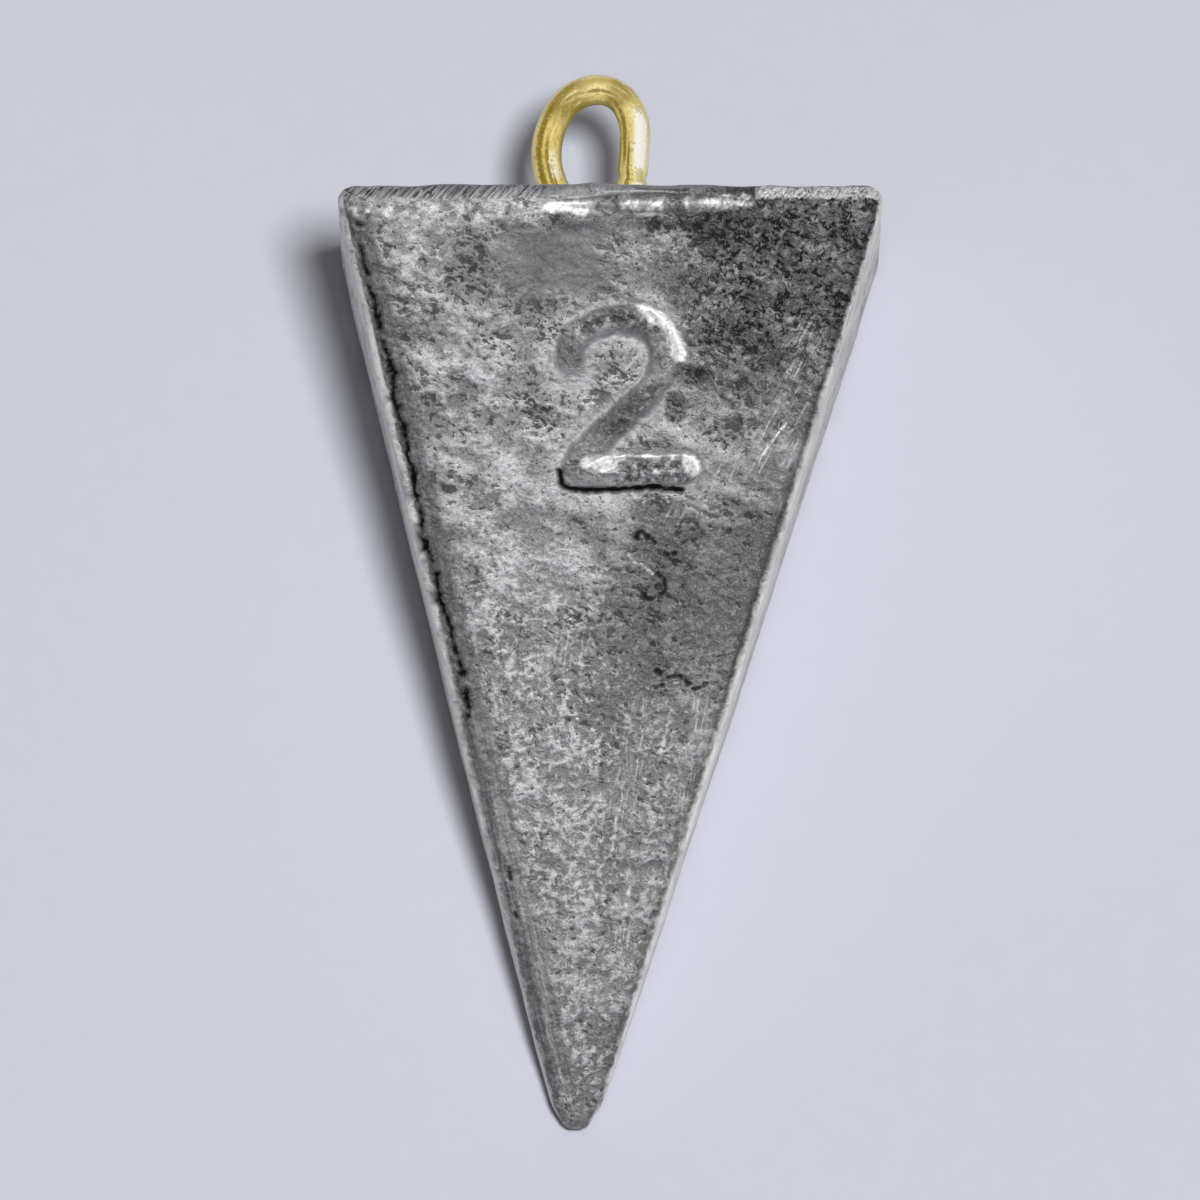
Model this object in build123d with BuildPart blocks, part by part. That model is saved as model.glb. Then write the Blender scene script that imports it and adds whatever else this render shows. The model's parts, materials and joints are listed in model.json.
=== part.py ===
# Pyramid fishing sinker: a square lead casting with a brass wire eye cast into its top.
# It lies on its back face: X runs across, the eye points to +Y, the tip to -Y, Z is up.
# All lengths are in millimetres and all angles in degrees.
import os
from math import atan2, cos, degrees, radians, sin, tan

from build123d import *

# casting; its tip stands a little to one side, as it came from the mould
base_width = 20.3
body_height = 34.1
tip_flat = 0.15
tip_shift = -1.3
edge_radius = 0.56

# scallop left under the front top edge where the pouring gate was broken away
gate_length = 7.6
gate_radius = 0.36
gate_shift = 1.4

# wire eye, bent from one length of round wire; each bend has a radius and an angle
wire_diameter = 1.15
eye_height = 5.15
eye_shift = -0.75
crown_shift = 0.3
left_crown_radius = 1.7
right_crown_radius = 1.2
left_flank_radius = 2.95
right_flank_radius = 2.05
neck_radius = 1.6
right_run_length = 2.3
anchor_length = 4.5
crown_angle = 55
left_flank_angle = 63
right_flank_angle = 39
splay_angle = 30

# gap left round the wire as the lead cools
cast_gap = 0.02

# the tip keeps a small flat between its rounded edges
tip_width = tip_flat + 2 * edge_radius

# with one side flat on the ground the axis rises by the slope of that side
side_run = (base_width - tip_width) / 2
side_slope = degrees(atan2(side_run, body_height))
axis_direction = Vector(0, cos(radians(side_slope)), sin(radians(side_slope)))
front_direction = Axis.X.direction.cross(axis_direction)

# the middle of the whole length, eye included, comes over the origin
overall_length = (body_height + eye_height) * cos(radians(side_slope))
tip_lift = tip_width / 2 * cos(radians(side_slope))
tip_point = Vector(0, -overall_length / 2, tip_lift)

# the parting plane of the mould holds the axis and the eye; the side plane is square to it
parting_plane = Plane(origin=tip_point, x_dir=Axis.X.direction, z_dir=front_direction)
side_plane = Plane(origin=tip_point, x_dir=axis_direction, z_dir=Axis.X.direction)
eye_foot = tip_point + axis_direction * body_height + Axis.X.direction * eye_shift
eye_plane = Plane(origin=eye_foot, x_dir=Axis.X.direction, z_dir=front_direction)

# the gate met the front where the rounding of the top edge starts
edge_setback = edge_radius / tan(radians(90 - side_slope) / 2)
gate_height = body_height - edge_setback * cos(radians(side_slope))
gate_depth = base_width / 2 - edge_setback * sin(radians(side_slope))
gate_point = (
    tip_point
    + axis_direction * gate_height
    + front_direction * gate_depth
    + Axis.X.direction * gate_shift
)
gate_plane = Plane(origin=gate_point, x_dir=Axis.X.direction, z_dir=front_direction)

# wire centre line: two arcs down each side of the crown, then necks that splay the legs
crown_height = eye_height - wire_diameter / 2
left_lean_angle = crown_angle + left_flank_angle - 90
right_lean_angle = crown_angle + right_flank_angle - 90
with BuildLine(eye_plane) as eye_path:
    left_crown = JernArc((crown_shift, crown_height), (-1, 0), left_crown_radius, crown_angle)
    left_flank = JernArc(left_crown @ 1, left_crown % 1, left_flank_radius, left_flank_angle)
    left_neck = JernArc(left_flank @ 1, left_flank % 1, neck_radius, -left_lean_angle - splay_angle)
    PolarLine(left_neck @ 1, anchor_length, direction=left_neck % 1)
    right_crown = JernArc((crown_shift, crown_height), (1, 0), right_crown_radius, -crown_angle)
    right_flank = JernArc(right_crown @ 1, right_crown % 1, right_flank_radius, -right_flank_angle)
    right_run = PolarLine(right_flank @ 1, right_run_length, direction=right_flank % 1)
    right_neck = JernArc(right_run @ 1, right_run % 1, neck_radius, right_lean_angle + splay_angle)
    PolarLine(right_neck @ 1, anchor_length, direction=right_neck % 1)
eye_wire = eye_path.wire()
wire_end = Plane(origin=eye_wire @ 0, z_dir=eye_wire % 0)

# lead casting: its front outline crossed with its side outline, all edges rounded alike
with BuildPart() as lead_body:
    with BuildSketch(parting_plane):
        with BuildLine():
            Polyline(
                (tip_shift - tip_width / 2, 0),
                (tip_shift + tip_width / 2, 0),
                (base_width / 2, body_height),
                (-base_width / 2, body_height),
                close=True,
            )
        make_face()
    extrude(amount=base_width, both=True)
    with BuildSketch(side_plane):
        with BuildLine():
            Polyline(
                (0, -tip_width / 2),
                (body_height, -base_width / 2),
                (body_height, base_width / 2),
                (0, tip_width / 2),
                close=True,
            )
        make_face()
    extrude(amount=base_width, both=True, mode=Mode.INTERSECT)
    fillet(lead_body.edges(), edge_radius)
    with BuildSketch(gate_plane):
        with BuildLine():
            gate_chord = Line((-gate_length / 2, 0), (gate_length / 2, 0))
            SagittaArc(gate_chord @ 0, gate_chord @ 1, gate_radius)
        make_face()
    revolve(axis=Axis(gate_point, Axis.X.direction), mode=Mode.SUBTRACT)
    # channel that the legs of the eye fill
    with BuildSketch(wire_end):
        Circle(wire_diameter / 2 + cast_gap)
    sweep(path=eye_wire, mode=Mode.SUBTRACT)

# brass wire eye
with BuildPart() as wire_eye:
    with BuildSketch(wire_end):
        Circle(wire_diameter / 2)
    sweep(path=eye_wire)

lead_body.part.label = "lead_body"
wire_eye.part.label = "wire_eye"

os.makedirs("parts", exist_ok=True)
export_step(lead_body.part, "parts/lead_body.step")
export_step(wire_eye.part, "parts/wire_eye.step")
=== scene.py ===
import json
import math

import bmesh
import bpy
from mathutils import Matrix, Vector
from mathutils.bvhtree import BVHTree


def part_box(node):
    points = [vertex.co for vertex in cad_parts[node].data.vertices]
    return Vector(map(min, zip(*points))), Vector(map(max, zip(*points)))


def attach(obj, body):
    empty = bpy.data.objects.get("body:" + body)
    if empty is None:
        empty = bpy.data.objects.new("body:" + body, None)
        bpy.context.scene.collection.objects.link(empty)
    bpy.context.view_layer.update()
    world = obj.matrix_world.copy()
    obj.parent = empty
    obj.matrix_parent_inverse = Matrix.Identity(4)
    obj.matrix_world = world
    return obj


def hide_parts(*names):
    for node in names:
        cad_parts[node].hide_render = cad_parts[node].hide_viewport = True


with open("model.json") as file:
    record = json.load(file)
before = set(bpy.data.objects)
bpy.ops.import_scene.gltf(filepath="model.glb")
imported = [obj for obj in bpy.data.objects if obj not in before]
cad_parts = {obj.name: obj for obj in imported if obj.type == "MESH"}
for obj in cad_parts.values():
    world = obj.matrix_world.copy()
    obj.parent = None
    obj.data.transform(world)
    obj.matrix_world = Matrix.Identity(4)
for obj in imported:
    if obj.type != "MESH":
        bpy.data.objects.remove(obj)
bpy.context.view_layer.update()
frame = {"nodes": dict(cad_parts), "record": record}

mm = 0.001
scene = bpy.context.scene
scene.view_settings.view_transform = "Standard"
print("sinker: frame loaded")


# small helpers for node trees
def plug(tree, socket, value):
    if isinstance(value, bpy.types.NodeSocket):
        tree.links.new(value, socket)
    else:
        socket.default_value = value


def addNode(tree, kind, inputs=None, **settings):
    made = tree.nodes.new(kind)
    for name, value in settings.items():
        setattr(made, name, value)
    for name, value in (inputs or {}).items():
        plug(tree, made.inputs[name], value)
    return made


def calc(tree, operation, *values, clamp=False):
    made = addNode(tree, "ShaderNodeMath", operation=operation, use_clamp=clamp)
    for socket, value in zip(made.inputs, values):
        plug(tree, socket, value)
    return made.outputs[0]


def chain(tree, operation, first, others):
    for value in others:
        first = calc(tree, operation, first, value)
    return first


def total(tree, first, *others):
    return chain(tree, "ADD", first, others)


def times(tree, first, *others):
    return chain(tree, "MULTIPLY", first, others)


def most(tree, first, *others):
    return chain(tree, "MAXIMUM", first, others)


def remain(tree, value):
    return calc(tree, "SUBTRACT", 1.0, value)


def combine(tree, x=0.0, y=0.0, z=0.0):
    return addNode(tree, "ShaderNodeCombineXYZ", {"X": x, "Y": y, "Z": z}).outputs[0]


def vecCalc(tree, operation, first, second):
    made = addNode(tree, "ShaderNodeVectorMath", operation=operation)
    plug(tree, made.inputs[0], first)
    plug(tree, made.inputs["Scale"] if operation == "SCALE" else made.inputs[1], second)
    return made.outputs["Value" if operation == "DOT_PRODUCT" else "Vector"]


def fade(tree, value, start, end, low=0.0, high=1.0):
    sockets = {"Value": value, "From Min": start, "From Max": end, "To Min": low, "To Max": high}
    made = addNode(tree, "ShaderNodeMapRange", sockets, interpolation_type="SMOOTHSTEP")
    return made.outputs["Result"]


def noise(tree, vector, scale, detail=2.0, rough=0.5, warp=0.0):
    sockets = {"Vector": vector, "Scale": scale, "Detail": detail, "Roughness": rough, "Distortion": warp}
    return addNode(tree, "ShaderNodeTexNoise", sockets).outputs["Fac"]


def sway(tree, vector, scale, height, detail=2.0, rough=0.5, warp=0.0):
    # noise that swings either side of zero by about half of its height
    level = calc(tree, "SUBTRACT", noise(tree, vector, scale, detail, rough, warp), 0.5)
    return calc(tree, "MULTIPLY", level, height)


def tilt(tree, vector):
    # noise is cut aslant, so its grid doesn't show on flat faces
    sockets = {"Vector": vector, "Rotation": (0.6, 0.9, 0.4)}
    return addNode(tree, "ShaderNodeVectorRotate", sockets, rotation_type="EULER_XYZ").outputs[0]


def mixColour(tree, share, first, second):
    made = addNode(tree, "ShaderNodeMix", data_type="RGBA")
    for index, value in ((0, share), (6, first), (7, second)):
        plug(tree, made.inputs[index], value)
    return made.outputs[2]


def addInputs(tree, sockets):
    for name, kind, value in sockets:
        made = tree.interface.new_socket(name, in_out="INPUT", socket_type="NodeSocket" + kind)
        if value is not None:
            made.default_value = value


def addModifier(piece, tree, values):
    made = piece.modifiers.new(tree.name, "NODES")
    made.node_group = tree
    for item in tree.interface.items_tree:
        if item.item_type == "SOCKET" and item.in_out == "INPUT" and item.name in values:
            made[item.identifier] = values[item.name]
    return made


def keepMark(tree, shape, name, value, kind="FLOAT"):
    # a value at every point that the finish can read by its name
    sockets = {"Geometry": shape, "Name": name, "Value": value}
    return addNode(tree, "GeometryNodeStoreNamedAttribute", sockets, data_type=kind, domain="POINT").outputs[0]


def dress(tree, shape, material):
    # the last nodes of every tree that makes a piece
    shape = addNode(tree, "GeometryNodeSetShadeSmooth", {"Geometry": shape}).outputs[0]
    shape = addNode(tree, "GeometryNodeRealizeInstances", {"Geometry": shape}).outputs[0]
    shape = addNode(tree, "GeometryNodeSetMaterial", {"Geometry": shape, "Material": material}).outputs[0]
    addNode(tree, "NodeGroupOutput", {"Geometry": shape})


def settle(piece):
    # the evaluated shape becomes the piece's own plain mesh
    graph = bpy.context.evaluated_depsgraph_get()
    mesh = bpy.data.meshes.new_from_object(
        piece.evaluated_get(graph), preserve_all_data_layers=True, depsgraph=graph
    )
    spent = piece.data
    piece.modifiers.clear()
    piece.data = mesh
    mesh.name = piece.name
    bpy.data.meshes.remove(spent)


def addObject(name, data):
    made = bpy.data.objects.new(name, data)
    scene.collection.objects.link(made)
    return made


def smoothRun(points, steps=6):
    # a curve through all the points
    points = [Vector(point) for point in points]
    ends = [points[0] * 2 - points[1], *points, points[-1] * 2 - points[-2]]
    curve = []
    for before, start, end, after in zip(ends, ends[1:], ends[2:], ends[3:]):
        for step in range(steps):
            t = step / steps
            curve.append(0.5 * (start * 2 + (end - before) * t + (before * 2 - start * 5 + end * 4 - after) * t ** 2
                                + (start * 3 - before - end * 3 + after) * t ** 3))
    return curve + [points[-1]]


def drawLines(name, runs):
    # open lines of bare edges, one for each run of points
    mesh = bpy.data.meshes.new(name)
    points = []
    edges = []
    for run in runs:
        first = len(points)
        points += [tuple(point) for point in run]
        edges += [(index, index + 1) for index in range(first, len(points) - 1)]
    mesh.from_pydata(points, edges, [])
    return addObject(name, mesh)


# the casting's own directions, read from the eye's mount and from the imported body
eyeMount = next(mount for mount in frame["record"]["mounts"] if mount["name"] == "line_eye")
across = Vector((1, 0, 0))
frontDir = Vector(eyeMount["axis"]).normalized()
axisDir = frontDir.cross(across)
leanSin = axisDir.z
leanCos = axisDir.y
faceNormal = frontDir * leanCos - axisDir * leanSin
faceUp = axisDir * leanCos + frontDir * leanSin
leadNode = frame["nodes"]["lead_body"]
faceReach = max(faceNormal.dot(vert.co) for vert in leadNode.data.vertices)
topReach = max(axisDir.dot(vert.co) for vert in leadNode.data.vertices)
facePoint = axisDir * topReach + frontDir * ((faceReach + topReach * leanSin) / leanCos)


# shared finish: patches and grain of bare metal that has dulled with age
def makeAgedMetal():
    tree = bpy.data.node_groups.new("agedMetal", "ShaderNodeTree")
    addInputs(tree, (
        ("Vector", "Vector", None),
        ("Patch Scale", "Float", 0.4),
        ("Grain Scale", "Float", 5.0),
        ("Bright", "Color", (0.5, 0.5, 0.5, 1)),
        ("Dull", "Color", (0.2, 0.2, 0.2, 1)),
        ("Dulling", "Float", 0.5),
    ))
    for name, kind in (("Colour", "Color"), ("Patch", "Float"), ("Grain", "Float")):
        tree.interface.new_socket(name, in_out="OUTPUT", socket_type="NodeSocket" + kind)
    given = addNode(tree, "NodeGroupInput").outputs
    patch = noise(tree, given["Vector"], given["Patch Scale"], 3.0, 0.55, 0.4)
    grain = noise(tree, given["Vector"], given["Grain Scale"], 3.0, 0.6, 0.2)
    blend = total(tree, times(tree, patch, 0.6), times(tree, grain, 0.4), given["Dulling"], -0.5)
    dulled = fade(tree, blend, 0.36, 0.64)
    colour = mixColour(tree, dulled, given["Bright"], given["Dull"])
    addNode(tree, "NodeGroupOutput", {"Colour": colour, "Patch": patch, "Grain": grain})
    return tree


agedMetal = makeAgedMetal()


def startMaterial(name):
    made = bpy.data.materials.new(name)
    made.use_nodes = True
    made.node_tree.nodes.clear()
    return made, made.node_tree


def endMaterial(tree, shader):
    addNode(tree, "ShaderNodeOutputMaterial", {"Surface": shader.outputs[0]})


def readMark(tree, name):
    return addNode(tree, "ShaderNodeAttribute", attribute_name=name).outputs["Fac"]


# pattern of the cast skin, the same in the shape and in the finish; a noise is (scale per mm, detail, roughness)
castSeed = (3.1, 7.4, 1.7)
castNoise = {
    "stir": (1.1, 3.0, 0.6),
    "cloud": (0.8, 5.0, 0.62),
    "fleck": (3.6, 3.0, 0.6),
    "crumb": (3.0, 2.5, 0.6),
    "cluster": (0.45, 2.0, 0.5),
    "lump": (2.3, 3.5, 0.62),
    "smallPit": (5.6, 2.0, 0.6),
}


def castPattern(tree, rel, normal, up, seed):
    acrossAt = vecCalc(tree, "DOT_PRODUCT", rel, (1, 0, 0))
    downAt = times(tree, vecCalc(tree, "DOT_PRODUCT", rel, up), -1)
    outAt = vecCalc(tree, "DOT_PRODUCT", rel, normal)
    # on the front it doesn't change with the height of the relief
    depth = calc(tree, "MINIMUM", total(tree, outAt, 0.35), 0.0)
    plain = combine(tree, acrossAt, downAt, depth)
    solid = vecCalc(tree, "ADD", tilt(tree, plain), seed)
    scale, detail, rough = castNoise["stir"]
    stir = addNode(tree, "ShaderNodeTexNoise", {"Vector": solid, "Scale": scale, "Detail": detail, "Roughness": rough})
    stir = vecCalc(tree, "SUBTRACT", stir.outputs["Color"], (0.5, 0.5, 0.5))
    stirred = vecCalc(tree, "SCALE", stir, 0.5)
    bent = vecCalc(tree, "ADD", solid, stirred)
    # cooling wrinkles lie aslant across the face
    course = vecCalc(tree, "ADD", plain, stirred)
    along = vecCalc(tree, "DOT_PRODUCT", course, (0.9, 0.43, 0.0))
    over = vecCalc(tree, "DOT_PRODUCT", course, (-0.43, 0.9, 0.0))
    flow = combine(tree, times(tree, along, 0.75), times(tree, over, 1.2), depth)
    flow = vecCalc(tree, "ADD", tilt(tree, flow), seed)
    lower = fade(tree, downAt, 10.0, 20.0)
    upperRight = times(tree, fade(tree, acrossAt, 0.5, 5.0), fade(tree, downAt, 11.0, 4.5),
                       fade(tree, outAt, -4.0, -1.5))
    cloud = noise(tree, flow, *castNoise["cloud"])
    fleck = noise(tree, bent, *castNoise["fleck"])
    crumb = noise(tree, flow, *castNoise["crumb"])
    cluster = noise(tree, flow, *castNoise["cluster"])
    share = fade(tree, lower, 0.0, 1.0, 0.28, 0.62)
    level = total(tree, times(tree, cloud, remain(tree, share)), times(tree, fleck, share))
    lightFrom = fade(tree, lower, 0.0, 1.0, 0.43, 0.465)
    light = fade(tree, level, lightFrom, fade(tree, lower, 0.0, 1.0, 0.61, 0.59))
    # pits gather in some places and are few towards the tip
    gather = times(tree, calc(tree, "SUBTRACT", cluster, 0.5), fade(tree, lower, 0.0, 1.0, 0.8, 0.3))
    pitLevel = total(tree, crumb, gather, times(tree, level, 0.2), -0.1, times(tree, lower, 0.06))
    # upper right the skin is small lumps with gaps between them
    lumpOff = calc(tree, "ABSOLUTE", calc(tree, "SUBTRACT", noise(tree, bent, *castNoise["lump"]), 0.5))
    lump = fade(tree, lumpOff, 0.0, 0.12)
    gap = times(tree, fade(tree, lumpOff, 0.045, 0.012), fade(tree, crumb, 0.53, 0.44), upperRight)
    return {
        "across": acrossAt, "down": downAt, "out": outAt, "solid": solid, "stir": stir, "flow": flow,
        "upperRight": upperRight, "cloud": cloud, "fleck": fleck, "lump": lump, "light": light,
        "pitLevel": total(tree, pitLevel, times(tree, upperRight, -0.02)), "gap": gap,
    }


def castPits(tree, skin, pitted):
    # pits are open where the level is low; some spots are full of them
    coarse = fade(tree, total(tree, skin["pitLevel"], times(tree, pitted, -0.04)), 0.40, 0.28)
    coarse = times(tree, coarse, fade(tree, skin["upperRight"], 0.0, 0.7, 1.0, 0.3))
    small = total(tree, noise(tree, skin["flow"], *castNoise["smallPit"]), times(tree, skin["pitLevel"], 0.5), -0.25)
    small = fade(tree, total(tree, small, times(tree, pitted, -0.09)), 0.38, 0.30)
    return most(tree, coarse, times(tree, small, 0.85), skin["gap"])


leadFinish = {
    "light": (0.46, 0.46, 0.46, 1),
    "mid": (0.215, 0.215, 0.215, 1),
    "dark": (0.13, 0.13, 0.13, 1),
    "dull": (0.045, 0.045, 0.046, 1),
    # near black, for dirt and for painted shade in pits, cracks and hollows
    "dirtAndShade": (0.008, 0.008, 0.008, 1),
    # pale bare metal; also the colour of painted highlights and glitter
    "bareAndGlint": (0.80, 0.80, 0.79, 1),
    # pale colour of the side strips, a painted sheen
    "edge": (0.93, 0.91, 0.87, 1),
    "roughness": 0.52,
    "metal": 0.45,
    "sideMetal": 0.15,
    "bumpDepth": 0.06,
    "fileMark": 0.14,
    "fileSlant": 0.9,
}


def makeCastLead():
    look = leadFinish
    made, tree = startMaterial("castLead")
    place = vecCalc(tree, "SCALE", addNode(tree, "ShaderNodeTexCoord").outputs["Object"], 1 / mm)
    rel = vecCalc(tree, "SUBTRACT", place, facePoint / mm)
    skin = castPattern(tree, rel, faceNormal, faceUp, castSeed)
    marks = {name: readMark(tree, name) for name in (
        "crack", "tarnish", "worn", "filed", "side", "calm", "halo", "rub", "pitted", "band", "edgeAt")}
    calm = marks["calm"]
    roughShare = remain(tree, calm)
    aged = addNode(tree, "ShaderNodeGroup", {
        "Vector": skin["solid"], "Patch Scale": 0.5, "Grain Scale": 4.0,
        "Bright": look["mid"], "Dull": look["dark"], "Dulling": 0.5,
    }, node_tree=agedMetal)
    fine = noise(tree, skin["solid"], 7.0, 2.5, 0.6, 0.3)
    # light flakes of the cast skin, and the painted highlights of the halo mark
    light = most(tree, times(tree, skin["light"], roughShare), marks["halo"])
    colour = mixColour(tree, light, aged.outputs["Colour"], look["light"])
    # darker tone and painted shade from the marks
    colour = mixColour(tree, marks["tarnish"], colour, look["dull"])
    # painted shade in the hollows between the lumps at the upper right
    hollowShade = times(tree, remain(tree, skin["lump"]), skin["upperRight"], roughShare)
    colour = mixColour(tree, times(tree, hollowShade, 0.5), colour, look["dirtAndShade"])
    # streaks that run along the left edge
    edgeLine = combine(
        tree, times(tree, marks["edgeAt"], 8.0), times(tree, skin["down"], 0.5), times(tree, skin["fleck"], 0.7)
    )
    streak = noise(tree, edgeLine, 1.0, 3.0, 0.6)
    for tone, end, upper, below in (("dirtAndShade", 0.40, 0.2, 0.36), ("light", 0.66, 0.08, 0.3)):
        share = times(tree, fade(tree, streak, 0.54, end), marks["band"],
                      fade(tree, skin["down"], 18.0, 26.0, upper, below))
        colour = mixColour(tree, share, colour, look[tone])
    # fine rubbed lines
    veer = times(tree, most(tree, total(tree, skin["down"], -13.0), 0.0), -0.3)
    rubOver = total(tree, times(tree, skin["across"], 0.9), times(tree, skin["down"], 0.43), veer)
    strokes = combine(
        tree, times(tree, rubOver, 8.0), times(tree, skin["down"], 0.8), times(tree, skin["fleck"], 1.6)
    )
    rubLine = times(tree, fade(tree, noise(tree, strokes, 1.0, 2.0, 0.5), 0.53, 0.65), marks["rub"])
    colour = mixColour(tree, times(tree, rubLine, 0.75), colour, look["light"])
    # hollows of the grain are darker, dirt and painted shade, except where the skin is smooth
    grit = noise(tree, skin["solid"], 11.0, 2.0, 0.6)
    grimeAndShade = total(tree, times(tree, fade(tree, fine, 0.5, 0.3), 0.4), times(tree, fade(tree, grit, 0.5, 0.34), 0.18))
    colour = mixColour(tree, times(tree, grimeAndShade, fade(tree, calm, 0.0, 1.0, 1.0, 0.5)), colour, look["dirtAndShade"])
    # painted glitter: tiny bright specks
    glitter = times(tree, fade(tree, grit, 0.54, 0.68), fade(tree, calm, 0.0, 1.0, 0.12, 0.08))
    colour = mixColour(tree, glitter, colour, look["bareAndGlint"])
    # painted sheen: the side strips are paler
    colour = mixColour(tree, marks["side"], colour, look["edge"])
    # slanting file marks on the top edge
    slant = vecCalc(tree, "DOT_PRODUCT", place, across - axisDir * look["fileSlant"])
    stroke = combine(tree, slant, times(tree, aged.outputs["Patch"], 2.0))
    leftStrip = times(tree, marks["filed"], fade(tree, skin["across"], 4.0, 1.0))
    colour = mixColour(tree, times(tree, leftStrip, 0.45), colour, look["dull"])
    rightStrip = times(tree, marks["filed"], fade(tree, skin["across"], 2.0, 6.0))
    colour = mixColour(tree, times(tree, rightStrip, fade(tree, grit, 0.4, 0.58, 0.15, 0.75)), colour, look["bareAndGlint"])
    fileMark = noise(tree, stroke, 1 / look["fileMark"], 2.0, 0.6)
    fileCut = times(tree, fade(tree, fileMark, 0.47, 0.36), marks["filed"])
    fileCut = times(tree, fileCut, fade(tree, skin["across"], 1.0, 6.0, 0.8, 0.35))
    colour = mixColour(tree, fileCut, colour, look["dirtAndShade"])
    fileMark = times(tree, fade(tree, fileMark, 0.42, 0.62), marks["filed"])
    fileShine = times(tree, fileMark, fade(tree, skin["across"], 1.0, 6.0, 0.35, 0.7))
    colour = mixColour(tree, fileShine, colour, look["bareAndGlint"])
    # bare metal of wear, and painted highlights
    colour = mixColour(tree, times(tree, marks["worn"], fade(tree, fine, 0.3, 0.55, 0.4, 1.0)), colour, look["bareAndGlint"])
    offFront = most(tree, marks["side"], marks["filed"])
    pit = times(tree, castPits(tree, skin, marks["pitted"]), roughShare, fade(tree, offFront, 0.2, 1.0, 1.0, 0.15))
    pitDark = most(tree, fade(tree, skin["upperRight"], 0.0, 0.8, 0.58, 0.92), times(tree, marks["pitted"], 0.78))
    # pits and cracks are darkened: dirt and painted shade
    dark = most(tree, times(tree, pit, pitDark), marks["crack"])
    colour = mixColour(tree, dark, colour, look["dirtAndShade"])
    lumps = times(tree, skin["lump"], fade(tree, skin["upperRight"], 0.0, 1.0, 0.1, 0.55))
    relief = total(tree, times(tree, skin["light"], 0.12), times(tree, skin["fleck"], 0.5), times(tree, fine, 0.4),
                   lumps)
    relief = times(tree, relief, fade(tree, calm, 0.0, 1.0, 1.0, 0.25), fade(tree, marks["side"], 0.0, 1.0, 1.0, 0.45))
    height = total(tree, relief, times(tree, pit, -0.7), times(tree, fileMark, 0.3), times(tree, rubLine, 0.12))
    bump = addNode(tree, "ShaderNodeBump", {"Strength": 1.0, "Distance": look["bumpDepth"] * mm, "Height": height})
    roughness = total(tree, look["roughness"], times(tree, dark, 0.3), times(tree, marks["worn"], -0.06),
                      times(tree, fine, 0.1))
    metal = most(tree, fade(tree, marks["side"], 0.0, 1.0, look["metal"], look["sideMetal"]), dark)
    shader = addNode(tree, "ShaderNodeBsdfPrincipled", {
        "Base Color": colour, "Roughness": roughness, "Metallic": metal, "Normal": bump.outputs[0],
    })
    endMaterial(tree, shader)
    return made


castLead = makeCastLead()

# lead casting; the drawing on its front is in mm, across and down from the middle of the sharp top edge
casting = {
    "skinStep": 0.30,
    "frontFacing": 0.6,
    "frontCuts": 2,
    "flatFacing": 0.9,
    "strokeReach": 0.8,
    "lineReach": 0.3,
    "lineCuts": 1,
    "ribHeight": 0.14,
    "ribHalf": 0.62,
    "barHalf": 0.58,
    "barHeight": 0.24,
    "swell": 0.22,
    "wrinkle": 0.18,
    "flake": 0.015,
    "pitDepth": 0.06,
    "crackDepth": 0.16,
    "dentDepth": 0.1,
    "scratchDepth": 0.03,
    "sideBow": 0.16,
    "tipMiddle": -1.3,
    "gateMiddle": 1.4,
    "gateHalf": 4.0,
    "edgeLean": 0.2295,
    "edgeStart": 9.565,
    "bowSpan": 36.0,
    "sideSpan": 36.5,
    "sideDepth": 0.55,
    "tipDraw": 0.2,
}
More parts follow.
